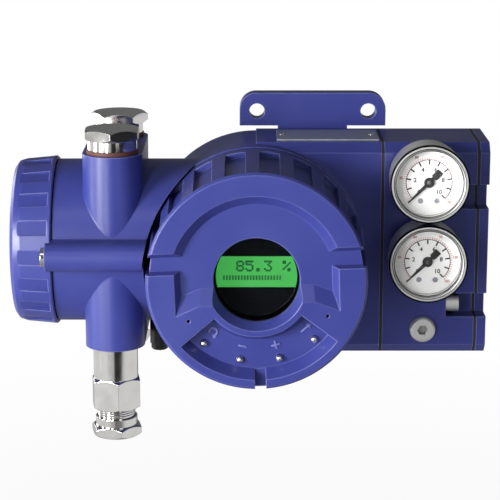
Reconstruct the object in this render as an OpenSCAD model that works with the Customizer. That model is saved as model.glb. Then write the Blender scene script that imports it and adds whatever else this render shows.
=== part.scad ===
// Electro-pneumatic valve positioner: a cast housing with a round electronics bay,
// a terminal compartment on the left and a pneumatic manifold with gauges on the right.
// The origin is on the feedback shaft's axis, at the rear mounting face.
// +X points to the gauges, +Y out of the rear face, +Z up. Lengths are millimetres.

/* [Housing] */
// Distance from the rear face to the front of the round bay
drum_len = 52; // [48:1:60]
// Thickness of the rear wall of the bay
rear_wall = 12; // [10:0.5:14]
// Bore radius of the electronics bay
bay_r = 46.5; // [42:0.5:51]
// Wall of the round electronics bay
drum_wall = 11; // [10.5:0.25:13]
// Length of the threaded neck for the front cover
neck_len = 14; // [12:0.5:16]
// Wall of the threaded neck
neck_wall = 3.5; // [3:0.25:4]
// Distance from the round bay to the right face of the casting
block_out = 8.5; // [7:0.5:14]
// Height of the top face above the round bay
block_over = 1; // [0.5:0.5:4]
// Height of the bottom face above the round bay's lowest line
block_under = 1.5; // [0:0.5:3]
// Depth of the rectangular part, front to rear
block_depth = 48; // [46:0.5:50]
// Bevel along the front top and bottom edges
edge_bevel = 5; // [3:0.5:6]

/* [Terminal compartment] */
// Outer radius of the terminal compartment
term_r = 43; // [42:0.5:46]
// Height of the compartment's axis above the shaft axis
term_z = 6; // [4:0.5:8]
// Distance from the round bay to the compartment's cover seat
term_reach = 47; // [45:0.5:52]
// Bore radius of the compartment
term_bore_r = 35; // [33:0.5:36]
// Depth of the compartment behind its cover seat
term_depth = 40; // [36:1:42]
// Length of the threaded neck for the terminal cover
term_neck_len = 14; // [12:0.5:15]
// Distance of the cable entries from the cover seat
entry_inset = 30.5; // [28:0.5:33]
// Outer radius of a cable entry boss
entry_r = 15.5; // [15:0.25:17]
// Thread radius of a cable entry
entry_thread_r = 10; // [9:0.5:11]
// Height of the upper entry faces above the compartment's axis
entry_up = 51.5; // [49:0.5:54]
// Depth of the lower entry faces below the compartment's axis
entry_down = 50.5; // [48:0.5:54]

/* [Covers] */
// Length of the front cover from its seat to its face
cover_len = 62; // [60:1:70]
// Taper of the front cover's radius from the bay to its face
cover_taper = 2; // [1:0.25:2.5]
// Turn of the tightened front cover about its axis, degrees
cover_clock = 2.2; // [-5:0.1:5]
// Number of grip recesses round the front cover
cover_grips = 20; // [16:1:24]
// Radius of the window opening
window_r = 21.5; // [20:0.25:22.5]
// Thickness of the window glass
glass_t = 8; // [6:0.5:9]
// Length of the terminal cover
cap_len = 22; // [20:0.5:26]
// Number of grip recesses round the terminal cover
cap_grips = 18; // [14:1:22]
// Thread lead of both covers
thread_lead = 2; // [1.5:0.25:2.5]
// Gap between a cover and its seat
cover_gap = 0.5; // [0.3:0.1:1]

/* [Buttons] */
// Distance from the bay's bore in to the buttons
button_inset = 4.1; // [4:0.1:4.6]
// Angle between neighbouring buttons, degrees
button_step = 27.4; // [24:0.2:28]
// Radius of a button pin
button_r = 1.9; // [1.6:0.1:2.1]
// Height of a button tip above the pocket floor
button_rise = 2.6; // [2:0.1:3]
// Travel of a button
button_travel = 1.5; // [1:0.1:1.8]

/* [Pneumatics] */
// Width of the gauge manifold
manifold_w = 49; // [46:0.5:56]
// Distance from the casting's right face to the gauge axes
gauge_inset = 23; // [22:0.5:26]
// Spacing of the three gauge ports
gauge_pitch = 42; // [42:0.5:44]
// Outer radius of a gauge's ring
gauge_r = 20.5; // [19.5:0.25:20.6]
// Depth of a gauge from its back to its ring's front
gauge_depth = 25; // [23:0.5:28]
// Gap between the manifold's face and a gauge's back
gauge_standoff = 3; // [2:0.5:6]
// Thread radius of a gauge port
gauge_port_r = 4.9; // [4.5:0.1:5.2]
// Thickness of the port plate on the right
plate_t = 5; // [4.5:0.25:8]
// Thickness of the flat gaskets
gasket_t = 1.5; // [1:0.1:2]
// Bore radius of an air port
air_port_r = 5.6; // [5:0.1:6.5]
// Spacing of the air ports
air_port_pitch = 34; // [30:0.5:36]
// Depth of the lowest air port in the manifold
port_depth = 8; // [6:0.5:9]
// Step by which each higher air port is deeper
port_step = 2; // [1:0.5:3]

/* [Bracket] */
// Width of the mounting bracket
bracket_w = 80; // [76:1:90]
// Thickness of the mounting bracket
bracket_t = 10; // [8:0.5:12]
// Spacing of the bracket's holes
bracket_pitch = 61; // [58:0.5:64]
// Radius of a bracket hole
bracket_hole_r = 4.2; // [3.5:0.1:4.8]
// Height of the bracket's crosspiece
bracket_h = 18; // [17:0.5:22]
// Distance from the shaft axis to the middle of the bracket
bracket_x = 31; // [26:0.5:32]

/* [Feedback] */
// Radius of the feedback shaft
shaft_r = 4; // [3:0.25:5]
// Length of the shaft outside the rear face
shaft_out = 17; // [14:0.5:24]
// Module of the feedback gears
gear_m = 1; // [0.9:0.05:1.05]
// Teeth of the shaft gear
gear_teeth = 42; // [40:2:44]
// Teeth of the sensor pinion
pinion_teeth = 14; // [12:2:16]

/* [Fits] */
// Radial clearance of turning and sliding pieces
run_gap = 0.1; // [0.05:0.01:0.15]
// Clearance between pieces that pass each other
pass_gap = 0.3; // [0.2:0.05:0.4]

/* [Hidden] */
$fn = 64;
casting_blue = [0.20, 0.21, 0.52];
plated = [0.78, 0.77, 0.73];
black = [0.04, 0.04, 0.05];
eps = 0.01;

// Outlines that follow the electronics bay
drum_r = bay_r + drum_wall;
block_right = drum_r + block_out;
block_top = drum_r + block_over;
block_bottom = drum_r - block_under;
term_left = drum_r + term_reach;
cover_face_r = drum_r - cover_taper;
button_ring_r = bay_r - button_inset;

// Front cover: distances from the rear face towards the viewer
neck_r = bay_r + neck_wall;
cover_seat = drum_len + cover_gap;
cover_face = cover_seat + cover_len;
cover_rear_r = drum_r - 0.5;
cover_clear = 1;
cover_bore_r = neck_r + pass_gap;
cover_wall = 11.5;
cover_inside = cover_face - cover_wall;
recess_depth = 5;
pocket_depth = 7;
recess_floor = cover_face - recess_depth;
pocket_floor = cover_face - pocket_depth;
window_seat_r = window_r + 3.5;
hub_r = window_seat_r + 4;
glass_front = recess_floor - 2;
seal_t = 1;
glass_back = glass_front - seal_t - glass_t;
retainer_t = 3;
hub_back = glass_back - retainer_t - 1;
o_ring_r = 1.25;
ring_bore_r = neck_r + pass_gap + 2 * o_ring_r + run_gap;
ring_bore_f = drum_len + pass_gap + 2 * o_ring_r + run_gap;

// Buttons and what they press
button_count = 4;
guide_r = 3.95;
guide_len = 11.5;
guide_back = cover_inside - guide_len;
guide_floor = 2;
collar_r = 2.8;
collar_t = 1.8;
button_tip = pocket_floor + button_rise;
button_end = guide_back - 2;

// Electronics stack in the bay
board_r = bay_r - 1;
board_t = 1.6;
key_top = button_end - button_travel - 0.5;
key_h = 5;
board_front = key_top - key_h;
carrier_r = button_ring_r - guide_r - 2;
carrier_t = 3;
carrier_front = hub_back - 2;
lcd_w = 56;
lcd_h = 16;
lcd_t = 2.4;
lcd_rise = 0.9;
post_r = 2.5;
post_ring_r = carrier_r - post_r - 1;
wire_flat = post_ring_r * sin(45) + post_r + 1;
module_len = 24;

// Terminal compartment
term_y = -term_r;
entry_x = -(term_left - entry_inset);
entry_top = term_z + entry_up;
entry_low = term_z - entry_down;
entry_front_y = -(2 * term_r - entry_r - 1.3);
entry_rear_y = -entry_r;
term_neck_r = term_bore_r + 3.5;
cap_bore_r = term_neck_r + pass_gap;
cap_ring_r = 1;
cap_ring_bore = term_neck_r + pass_gap + 2 * cap_ring_r + run_gap;
cap_grip_r = term_r + 1.7;
cap_end_wall = 6;
cap_ring_depth = pass_gap + 2 * cap_ring_r + run_gap - cover_gap;
lock_boss_r = 7.2;
lock_head_r = 5.1;
lock_head_t = 2.2;
lock_reach = cap_grip_r + 0.4 + lock_boss_r;
lock_z = term_z + 2.5;
lock_y = term_y - lock_reach;
lock_end = -(term_left + 2.5);

// Pneumatic block
manifold_left = block_right + gasket_t;
manifold_right = manifold_left + manifold_w;
plate_left = manifold_right + gasket_t;
plate_right = plate_left + plate_t;
gauge_x = block_right + gauge_inset;
gauge_back = block_depth + gauge_standoff;
gauge_front = gauge_back + gauge_depth;
upper_z = gauge_pitch;
lower_z = 0;
plug_level = -gauge_pitch;
block_mid_z = (block_top - block_bottom) / 2;
bolt_levels = [30, -29];
bolt_f = block_depth - 5.5;
bolt_r = 3;
bolt_head_r = 5;
bolt_head_t = 7;
bolt_grip = 12;
slot_half = 6.5;
slot_depth = 11;
slot_left = manifold_right - 15;
spool_r = 6;
spool_x = manifold_right - 18;
spool_f = 22;
spool_travel = 2.5;
spool_top = block_top - 12;
spool_plug_h = 11;

// Feedback gearing
journal_r = shaft_r + 1;
bush_r = journal_r + 2;
gear_t = 4;
gear_f = rear_wall + 2;
gear_pitch_r = gear_m * gear_teeth / 2;
pinion_pitch_r = gear_m * pinion_teeth / 2;
gear_centres = gear_pitch_r + pinion_pitch_r;
backlash = 0.25;
pressure_angle = 20;
sensor_r = 9;
sensor_len = 12;
sensor_f = gear_f + gear_t + 2;
sensor_plate_f = sensor_f + sensor_len;
sensor_plate_t = 3;

// Local frame: x right, y up, z towards the viewer, starting at a distance from the rear face
module facing(f0, x = 0, z = 0) { translate([x, -f0, z]) rotate([90, 0, 0]) children(); }

// Local frame: z to the left, x up, starting at a place on the X axis
module leftward(x0, y = 0, z = 0) { translate([x0, y, z]) rotate([0, -90, 0]) children(); }

// Local frame: z to the right, y up in the part's Y, starting at a place on the X axis
module rightward(x0, y = 0, z = 0) { translate([x0, y, z]) rotate([0, 90, 0]) children(); }

// Round a shape about the button ring's middle, by the position of a button
function button_angle(i) = (i - (button_count - 1) / 2) * button_step;
module at_button(i) {
    rotate([0, -cover_clock - button_angle(i), 0]) translate([0, 0, -button_ring_r]) children();
}

// A tube from z0 to z1
module tube(r_out, r_in, z0, z1) {
    translate([0, 0, z0]) difference() {
        cylinder(r = r_out, h = z1 - z0);
        translate([0, 0, -1]) cylinder(r = r_in, h = z1 - z0 + 2);
    }
}

// A ring with a round section
module o_ring(ring_r, wire_r) { rotate_extrude() translate([ring_r, 0]) circle(r = wire_r, $fn = 24); }

// A hexagon by its width across flats
module hexagon(flats, h, turn = 0) { rotate([0, 0, turn]) cylinder(r = flats / sqrt(3), h = h, $fn = 6); }

// A hexagon whose ends are turned down to a cone, as on a machined nut
module turned_hexagon(flats, h, turn = 0) {
    corner = flats / sqrt(3);
    drop = (corner - flats / 2) * 0.7;
    rotate([0, 0, turn]) intersection() {
        hexagon(flats, h, 30);
        rotate_extrude()
            polygon([[0, 0], [flats / 2, 0], [corner, drop], [corner, h - drop], [flats / 2, h], [0, h]]);
    }
}

// Flat-bottomed grip recesses round a cylinder
module grip_recesses(count, width, floor_r, z0, z1) {
    for (i = [0 : count - 1]) rotate([0, 0, (i + 0.5) * 360 / count])
        translate([floor_r, -width / 2, z0]) cube([10, width, z1 - z0]);
}

// Outline of the rectangular part, as seen from the left, with bevelled front edges
module block_section() {
    polygon([[0, -block_bottom], [block_depth - edge_bevel, -block_bottom],
             [block_depth, edge_bevel - block_bottom], [block_depth, block_top - edge_bevel],
             [block_depth - edge_bevel, block_top], [0, block_top]]);
}

// The rectangular section swept along X from x0 to x1
module block_run(x0, x1) {
    translate([x0, 0, 0]) rotate([90, 0, 90]) linear_extrude(x1 - x0) mirror([1, 0]) block_section();
}

// Casting with the bay, the terminal compartment, the cable entries and the lock boss
module housing() {
    color(casting_blue) difference() {
        union() {
            difference() {
                union() {
                    facing(0) cylinder(r = drum_r, h = drum_len);
                    block_run(0, block_right);
                    leftward(-bay_r / 2, term_y, term_z) cylinder(r = term_r, h = term_left - bay_r / 2);
                    entry_bosses();
                    leftward(-drum_r + 6, lock_y, lock_z)
                        cylinder(r = lock_boss_r, h = -lock_end - drum_r + 6);
                    lock_web();
                }
                facing(drum_len) cylinder(r = cover_rear_r + cover_clear, h = 2 * cover_len);
            }
            facing(drum_len - eps) cylinder(r = neck_r, h = neck_len + eps);
            leftward(-term_left + eps, term_y, term_z) cylinder(r = term_neck_r, h = term_neck_len);
        }
        facing(rear_wall) cylinder(r = bay_r, h = drum_len + neck_len);
        facing(-1) cylinder(r = bush_r, h = rear_wall + 2);
        leftward(-term_left + term_depth, term_y, term_z)
            cylinder(r = term_bore_r, h = term_depth + term_neck_len + 1);
        leftward(-bay_r + 6, term_y, term_z) cylinder(r = 5, h = term_left - term_depth - bay_r + 10);
        for (y = [entry_front_y, entry_rear_y])
            translate([entry_x, y, entry_low - 1])
                cylinder(r = entry_thread_r, h = entry_top - entry_low + 2);
        leftward(lock_end + 12, lock_y, lock_z) cylinder(r = 2.2, h = 14);
        translate([-vent_x, term_y, vent_seat - 20]) cylinder(r = vent_r + run_gap, h = 20);
        translate([-vent_x, term_y, vent_seat - 1]) cylinder(r = vent_thread_r, h = 8);
        bracket_screw_places() translate([0, 0, -1]) cylinder(r = 2.5, h = 12);
        manifold_bolt_places() cylinder(r = bolt_r, h = bolt_grip + 1);
        rivet_places() translate([0, 0, -4]) cylinder(r = 1.2, h = 5);
    }
}

// Oblong bosses above and below the compartment that carry two cable entries each
module entry_bosses() {
    translate([entry_x, 0, entry_low]) linear_extrude(entry_top - entry_low) {
        for (y = [entry_front_y, entry_rear_y]) translate([0, y]) circle(r = entry_r);
        translate([-entry_r, entry_front_y]) square([2 * entry_r, entry_rear_y - entry_front_y]);
    }
}

// Web that ties the lock boss to the compartment's wall
module lock_web() {
    web = lock_boss_r * 1.9;
    translate([-term_left, lock_y, lock_z - web / 2]) cube([term_left - drum_r + 6, lock_reach - 20, web]);
}

// Vent under the compartment, beside the lower cable entries
vent_x = drum_r - 5.5;
vent_r = 5.2;
vent_thread_r = 3.5;
vent_seat = term_z - sqrt(pow(term_r, 2) - pow(vent_r + 0.2, 2)) + 0.1;
vent_len = 18;

// T-shaped lug plate behind the top of the housing
bracket_low = block_top + 1.6;
bracket_neck_w = 38;
bracket_corner = 9;
module mounting_bracket() {
    bracket_top = bracket_low + bracket_h;
    color(casting_blue) difference() {
        facing(bracket_gap, bracket_x) linear_extrude(bracket_t) difference() {
            union() {
                translate([-bracket_w / 2, bracket_low])
                    square([bracket_w, bracket_h - bracket_corner]);
                translate([-bracket_w / 2 + bracket_corner, bracket_low])
                    square([bracket_w - 2 * bracket_corner, bracket_h]);
                for (s = [-1, 1])
                    translate([s * (bracket_w / 2 - bracket_corner), bracket_top - bracket_corner])
                        circle(r = bracket_corner);
                translate([-bracket_neck_w / 2, bracket_foot])
                    square([bracket_neck_w, bracket_low - bracket_foot + 1]);
            }
            for (s = [-1, 1]) translate([s * bracket_pitch / 2, bracket_top - bracket_corner - 1])
                circle(r = bracket_hole_r);
        }
        bracket_screw_places() translate([0, 0, -bracket_t - 1]) cylinder(r = 2.7, h = bracket_t + 2);
    }
}
bracket_gap = -bracket_t;
bracket_foot = block_top - 22;

// Two screws hold the bracket's foot to the rear face
module bracket_screw_places() {
    for (s = [-1, 1]) facing(0, bracket_x + s * bracket_neck_w / 3.2, bracket_foot + 9) children();
}
module bracket_screws() {
    color(plated) bracket_screw_places() difference() {
        union() {
            translate([0, 0, -bracket_t - 5]) cylinder(r = 4.2, h = 5);
            translate([0, 0, -bracket_t]) cylinder(r = 2.4, h = bracket_t + 10);
        }
        translate([0, 0, -bracket_t - 6]) hexagon(4, 4);
    }
}

// Bare rating plate on the top face and its rivets
plate_w = 54;
plate_d = 30;
plate_thick = 0.8;
plate_edge = 1;
plate_x = block_right - plate_edge - plate_w / 2;
rivet_inset = 3;
plate_y = -block_depth + edge_bevel + 4;
module name_plate() {
    color([0.45, 0.48, 0.50]) translate([plate_x - plate_w / 2, plate_y, block_top])
        difference() {
            cube([plate_w, plate_d, plate_thick]);
            for (x = [rivet_inset, plate_w - rivet_inset])
                translate([x, plate_d / 2, -1]) cylinder(r = 1.25, h = 3);
        }
}
module rivet_places() {
    for (x = [rivet_inset, plate_w - rivet_inset])
        translate([plate_x - plate_w / 2 + x, plate_y + plate_d / 2, block_top]) children();
}
module name_plate_rivets() {
    color(plated) rivet_places() {
        translate([0, 0, plate_thick]) intersection() {
            cylinder(r = 2, h = 1);
            translate([0, 0, -1.6]) sphere(r = 2.6);
        }
        translate([0, 0, -3.5]) cylinder(r = 1.15, h = 3.5 + plate_thick + eps);
    }
}

// Screwed front cover: a deep cup with grip recesses, a window and a pocket for the buttons
module front_cover() {
    color(casting_blue) rotate([0, -cover_clock, 0]) difference() {
        facing(0) difference() {
            rotate_extrude($fn = 96) polygon([
                [ring_bore_r, cover_seat], [cover_rear_r, cover_seat], [cover_rear_r, cover_seat + 8],
                [cover_face_r, cover_face - 1.2], [cover_face_r - 1.2, cover_face], [0, cover_face],
                [0, hub_back], [hub_r, hub_back], [hub_r, cover_inside], [bay_r, cover_inside],
                [bay_r, cover_seat + neck_len + 3],
                [cover_bore_r, cover_seat + neck_len + 0.5], [cover_bore_r, ring_bore_f],
                [ring_bore_r, ring_bore_f]]);
            grip_recesses(cover_grips, 10.5, cover_face_r - 1.7, cover_seat + 9.5, cover_face - 2.6);
            upper_recess();
            button_pocket();
            translate([0, 0, cover_inside - 1]) cylinder(r = window_r, h = cover_wall + 2);
            window_funnel();
            translate([0, 0, hub_back - 1]) cylinder(r = window_seat_r, h = glass_front - hub_back + 1);
            for (s = [-1, 1]) rotate([0, 0, -90 + s * 62])
                translate([button_ring_r - 3, 0, cover_face - 4]) cylinder(r = 0.9, h = 5, $fn = 24);
            for (i = [0 : button_count - 1]) rotate([0, 0, button_angle(i)])
                translate([0, -button_ring_r, cover_inside - 1])
                    cylinder(r = button_r + run_gap, h = cover_wall);
        }
    }
}

// Shallow recess above the window: a sloped arc, bar slots at the sides and sloped lower walls
module upper_recess() {
    floor_z = recess_floor;
    top_z = cover_face + 0.2;
    slot_low = 5.4;
    slot_high = 16.5;
    overlap_y = slot_low + 4;
    arc_floor_r = cover_face_r - 16.5;
    wall_x = cover_face_r - 17.5;
    wide = cover_face_r + 5;
    shoulder = [28.3, -3];
    shoulder_turn = 22.3;
    intersection() {
        translate([0, 0, floor_z]) cylinder(r1 = arc_floor_r, r2 = arc_floor_r + 5, h = top_z - floor_z);
        translate([-wide, overlap_y, floor_z - 1]) cube([2 * wide, wide, recess_depth + 2]);
    }
    translate([-wide, 0, 0]) rotate([90, 0, 90]) linear_extrude(2 * wide)
        polygon([[slot_low + 1, floor_z], [slot_high - 3, floor_z], [slot_high, top_z], [slot_low, top_z]]);
    intersection() {
        translate([0, overlap_y, 0]) rotate([90, 0, 0]) linear_extrude(30)
            polygon([[-wall_x, floor_z], [wall_x, floor_z], [wall_x + 3.2, top_z], [-wall_x - 3.2, top_z]]);
        union() {
            translate([0, shoulder[1], 0]) lower_wall(8.4);
            for (s = [-1, 1]) translate([s * shoulder[0], shoulder[1], 0]) rotate([0, 0, -s * shoulder_turn])
                lower_wall(7.5);
        }
    }
}

// Cone that opens the window's edge towards the face
module window_funnel() {
    low = recess_floor - 1.2;
    high = cover_face + 0.2;
    edge = 0.4;
    slope = 0.62;
    translate([0, 0, low])
        cylinder(r1 = window_r + edge - 1.2 * slope,
                 r2 = window_r + edge + (high - recess_floor) * slope,
                 h = high - low);
}

// Space above a wall that slopes down by a run from the recess's floor to the cover's face
module lower_wall(run) {
    top_z = cover_face + 0.2;
    wide = cover_face_r + 5;
    translate([-wide, 0, 0]) rotate([90, 0, 90]) linear_extrude(2 * wide)
        polygon([[0, recess_floor], [30, recess_floor], [30, top_z], [-run, top_z]]);
}

// Curved pocket below the window for the buttons, with a slot through the rim
module button_pocket() {
    inner_r = hub_r + 0.5;
    floor_r = button_ring_r + 3.6;
    top_r = floor_r + 4.5;
    slot_run = cover_face_r + 5;
    half_angle = 51;
    reach = 80;
    intersection() {
        translate([0, 0, pocket_floor]) difference() {
            cylinder(r1 = floor_r, r2 = top_r, h = pocket_depth + eps);
            translate([0, 0, -1]) cylinder(r1 = inner_r + 2, r2 = inner_r - 2, h = pocket_depth + 2);
        }
        translate([0, 0, pocket_floor - 1]) linear_extrude(pocket_depth + 2)
            polygon([[0, 0], [-reach * sin(half_angle), -reach * cos(half_angle)], [0, -reach * 1.2],
                     [reach * sin(half_angle), -reach * cos(half_angle)]]);
    }
    translate([-2.8, -slot_run, pocket_floor + 0.4]) cube([5.6, slot_run - floor_r + 1.5, pocket_depth + 3]);
}

// Ring that seals the front cover at the root of the neck
module front_cover_o_ring() {
    color(black) facing(drum_len + pass_gap + o_ring_r) o_ring(neck_r + pass_gap + o_ring_r, o_ring_r);
}

// Window, its seal and the threaded ring behind it
module window_glass() {
    color([0.75, 0.85, 0.85, 0.3]) facing(glass_back) cylinder(r = window_seat_r - run_gap, h = glass_t);
}
module window_seal() {
    color(black) facing(0) tube(window_seat_r - run_gap, window_r, glass_front - seal_t, glass_front);
}
module window_retainer() {
    color(plated) facing(0) difference() {
        tube(window_seat_r - run_gap, window_r - 1, glass_back - retainer_t, glass_back);
        for (s = [0, 180]) rotate([0, 0, s]) translate([window_r + 1, 0, glass_back - retainer_t - 1])
            cylinder(r = 0.9, h = 2.5);
    }
}

// Flanged sleeves that guide the buttons behind the cover's wall
module button_guides() {
    color(plated) for (i = [0 : button_count - 1]) at_button(i) facing(0) {
        tube(guide_r, collar_r + pass_gap, guide_back + guide_floor, cover_inside);
        tube(guide_r, button_r + run_gap, guide_back, guide_back + guide_floor + eps);
    }
}

// Button pin with a domed tip and a collar that stops behind the cover's wall
module button(i) {
    color(plated) at_button(i) facing(0) {
        translate([0, 0, button_end]) cylinder(r = button_r, h = button_tip - button_end - button_r);
        translate([0, 0, button_tip - button_r - eps]) intersection() {
            sphere(r = button_r);
            cylinder(r = button_r, h = button_r);
        }
        translate([0, 0, cover_inside - collar_t - 0.1]) cylinder(r = collar_r, h = collar_t);
    }
}

// Black frame and lit panel of the display
module display_carrier() {
    color(black) facing(carrier_front - carrier_t) difference() {
        cylinder(r = carrier_r, h = carrier_t);
        translate([-lcd_w / 2 - run_gap, lcd_rise - lcd_h / 2 - run_gap, carrier_t - lcd_t])
            cube([lcd_w + 2 * run_gap, lcd_h + 2 * run_gap, lcd_t + 1]);
    }
}
module display_panel() {
    color([0.25, 0.72, 0.32]) facing(carrier_front - lcd_t)
        translate([-lcd_w / 2, lcd_rise - lcd_h / 2, 0]) cube([lcd_w, lcd_h, lcd_t]);
}

// Posts that carry the display on the board
module carrier_posts() {
    color(plated) for (a = [45 : 90 : 315]) facing(0)
        rotate([0, 0, a]) translate([post_ring_r, 0, board_front])
            cylinder(r = post_r, h = carrier_front - carrier_t - board_front);
}

// Space above the flat of the board and the module, where the wires pass to the front
module wire_way(h) {
    translate([-bay_r, wire_flat, -1]) cube([2 * bay_r, bay_r, h + 2]);
}

// Main board with the keys that the buttons press
module main_board() {
    color([0.05, 0.30, 0.14]) facing(board_front - board_t) difference() {
        cylinder(r = board_r, h = board_t);
        for (a = [0 : 90 : 270]) rotate([0, 0, a]) translate([board_r - 6, 0, -1]) cylinder(r = 1.6, h = 4);
        wire_way(board_t);
    }
}
module key_switches() {
    color(black) for (i = [0 : button_count - 1]) at_button(i) facing(board_front) {
        translate([-3, -3, 0]) cube([6, 6, key_h - 1.5]);
        translate([0, 0, key_h - 1.5 - eps]) cylinder(r = 1.7, h = 1.5 + eps);
    }
}

// Encapsulated electronics behind the board, on posts from the rear wall
module electronics_module() {
    color([0.10, 0.10, 0.12]) facing(board_front - board_t - module_len) difference() {
        cylinder(r = bay_r - 4, h = module_len);
        wire_way(module_len);
    }
}
module module_posts() {
    color(plated) for (a = [200, 270, 340]) facing(0) rotate([0, 0, a]) translate([bay_r - 9, 0, 0]) {
        translate([0, 0, rear_wall]) cylinder(r = 3.5, h = sensor_plate_f - rear_wall);
        translate([0, 0, sensor_plate_f + sensor_plate_t])
            cylinder(r = 3.5, h = board_front - board_t - module_len - sensor_plate_f - sensor_plate_t);
    }
}

// Plate across the bay that carries the position sensor
module sensor_plate() {
    color([0.70, 0.71, 0.72]) facing(sensor_plate_f) cylinder(r = bay_r - 4, h = sensor_plate_t);
}

// Screwed cover of the terminal compartment
module terminal_cover() {
    color(casting_blue) leftward(-(term_left + cover_gap), term_y, term_z) difference() {
        rotate_extrude($fn = 96) polygon([
            [cap_ring_bore, 0], [cap_grip_r - 0.6, 0], [cap_grip_r, 0.8], [cap_grip_r - 1.4, cap_len - 6],
            [cap_grip_r - 2.6, cap_len - 2.2], [cap_grip_r - 5, cap_len - 0.4], [cap_grip_r - 8, cap_len],
            [0, cap_len], [0, cap_len - cap_end_wall], [cap_bore_r, cap_len - cap_end_wall],
            [cap_bore_r, cap_ring_depth], [cap_ring_bore, cap_ring_depth]]);
        grip_recesses(cap_grips, 7.5, cap_grip_r - 1.9, 2.2, cap_len - 3.2);
    }
}
module terminal_cover_o_ring() {
    color(black) leftward(-term_left - pass_gap - cap_ring_r, term_y, term_z)
        o_ring(term_neck_r + pass_gap + cap_ring_r, cap_ring_r);
}

// Terminal strip and its screws in the compartment
strip_w = 40;
strip_h = 22;
strip_t = 14;
strip_poles = 6;
module terminal_block() {
    color([0.12, 0.13, 0.14]) leftward(-(term_left - term_depth), term_y, term_z) difference() {
        translate([-strip_h / 2, -strip_w / 2, 0]) cube([strip_h, strip_w, strip_t]);
        for (i = [0 : strip_poles - 1]) translate([0, pole_y(i), 0]) {
            translate([3, 0, 6]) cylinder(r = 2.4, h = strip_t);
            translate([-strip_h / 2 - 1, -2, 5]) cube([8, 4, 5]);
        }
        translate([0, 0, -1]) cylinder(r = 4, h = 3);
    }
}
function pole_y(i) = (i - (strip_poles - 1) / 2) * strip_w / strip_poles;
module terminal_screws() {
    color(plated) leftward(-(term_left - term_depth), term_y, term_z)
        for (i = [0 : strip_poles - 1]) translate([3, pole_y(i), 6]) difference() {
            cylinder(r = 2.2, h = 4);
            translate([-3, -0.35, 3]) cube([6, 0.7, 2]);
        }
}

// Screw that locks the terminal cover, in the boss on the compartment's front
module cover_lock_screw() {
    color(plated) leftward(lock_end, lock_y, lock_z) {
        difference() {
            cylinder(r = lock_head_r, h = lock_head_t);
            translate([0, 0, 1]) hexagon(4, 3);
        }
        translate([0, 0, -11]) cylinder(r = 2, h = 11 + eps);
    }
}

// Hexagon plug for an unused cable entry
plug_seal_t = 2;
plug_flats = 27;
plug_hex_h = 5.8;
plug_collar_r = 12.8;
plug_collar_h = 5.2;
module entry_plug(turn) {
    color(plated) {
        translate([0, 0, plug_seal_t + plug_collar_h]) turned_hexagon(plug_flats, plug_hex_h, turn);
        translate([0, 0, plug_seal_t]) cylinder(r = plug_collar_r, h = plug_collar_h + eps);
        translate([0, 0, -11]) cylinder(r = entry_thread_r - run_gap, h = 11 + plug_seal_t + eps);
    }
}
module entry_plug_front() { translate([entry_x, entry_front_y, entry_top]) entry_plug(0); }
module entry_plug_rear() { translate([entry_x, entry_rear_y, entry_top]) entry_plug(-28); }
module entry_plug_lower() { translate([entry_x, entry_rear_y, entry_low]) mirror([0, 0, 1]) entry_plug(-15); }
module entry_seals() {
    color([0.36, 0.16, 0.13]) {
        for (y = [entry_front_y, entry_rear_y]) translate([entry_x, y, entry_top])
            tube(plug_collar_r + 0.5, entry_thread_r + run_gap, 0, plug_seal_t);
        translate([entry_x, entry_rear_y, entry_low - plug_seal_t])
            tube(plug_collar_r + 0.5, entry_thread_r + run_gap, 0, plug_seal_t);
    }
}

// Cable gland in the lower front entry: body, sealing ring and clamping nut
gland_bore_r = 6;
gland_flats = 24;
gland_collar_r = 11.7;
gland_collar_h = 17.5;
gland_hex_h = 16.5;
gland_thread_r = 9.7;
gland_thread_h = 10.5;
gland_seal_r = 8;
nut_gap = 5;
nut_neck_r = gland_thread_r + run_gap + 1.2;
nut_neck_h = 4.5;
nut_h = 5.5;
nut_face = gland_collar_h + gland_hex_h + nut_gap;
nut_shoulder = gland_collar_h + gland_hex_h + gland_thread_h + 0.5;
module at_gland() { translate([entry_x, entry_front_y, entry_low]) mirror([0, 0, 1]) children(); }
module gland_body() {
    hex_top = gland_collar_h + gland_hex_h;
    color(plated) at_gland() difference() {
        union() {
            translate([0, 0, -11]) cylinder(r = entry_thread_r - run_gap, h = 11 + eps);
            cylinder(r = gland_collar_r, h = gland_collar_h + eps);
            translate([0, 0, gland_collar_h]) turned_hexagon(gland_flats, gland_hex_h, 9);
            translate([0, 0, hex_top - eps]) cylinder(r = gland_thread_r, h = gland_thread_h);
        }
        translate([0, 0, -12]) cylinder(r = gland_bore_r, h = hex_top + 24);
        translate([0, 0, hex_top - 6]) cylinder(r = gland_seal_r + run_gap, h = gland_thread_h + 8);
    }
}
module gland_seal() {
    color(black) at_gland()
        tube(gland_seal_r, gland_bore_r, gland_collar_h + gland_hex_h - 6, nut_shoulder);
}
module gland_nut() {
    nut_end = nut_face + nut_neck_h + nut_h;
    color(plated) at_gland() difference() {
        translate([0, 0, nut_face]) union() {
            cylinder(r = nut_neck_r, h = nut_neck_h + eps);
            translate([0, 0, nut_neck_h]) turned_hexagon(gland_flats, nut_h, 15);
        }
        translate([0, 0, nut_face - 1])
            cylinder(r = gland_thread_r + run_gap, h = nut_shoulder - nut_face + 1);
        translate([0, 0, nut_face]) cylinder(r = gland_bore_r, h = nut_end - nut_face + 1);
    }
}

// Black vent that hangs below the compartment
module vent_plug() {
    color(black) translate([-vent_x, term_y, vent_seat]) mirror([0, 0, 1]) {
        translate([0, 0, -6]) cylinder(r = vent_thread_r - run_gap, h = 6 + eps);
        rotate_extrude() polygon([[0, 0], [vent_r, 0], [vent_r, vent_len - 3.5], [vent_r - 0.6, vent_len - 3],
            [vent_r - 0.6, vent_len - 0.8], [vent_r - 1.4, vent_len], [0, vent_len]]);
    }
}

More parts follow.
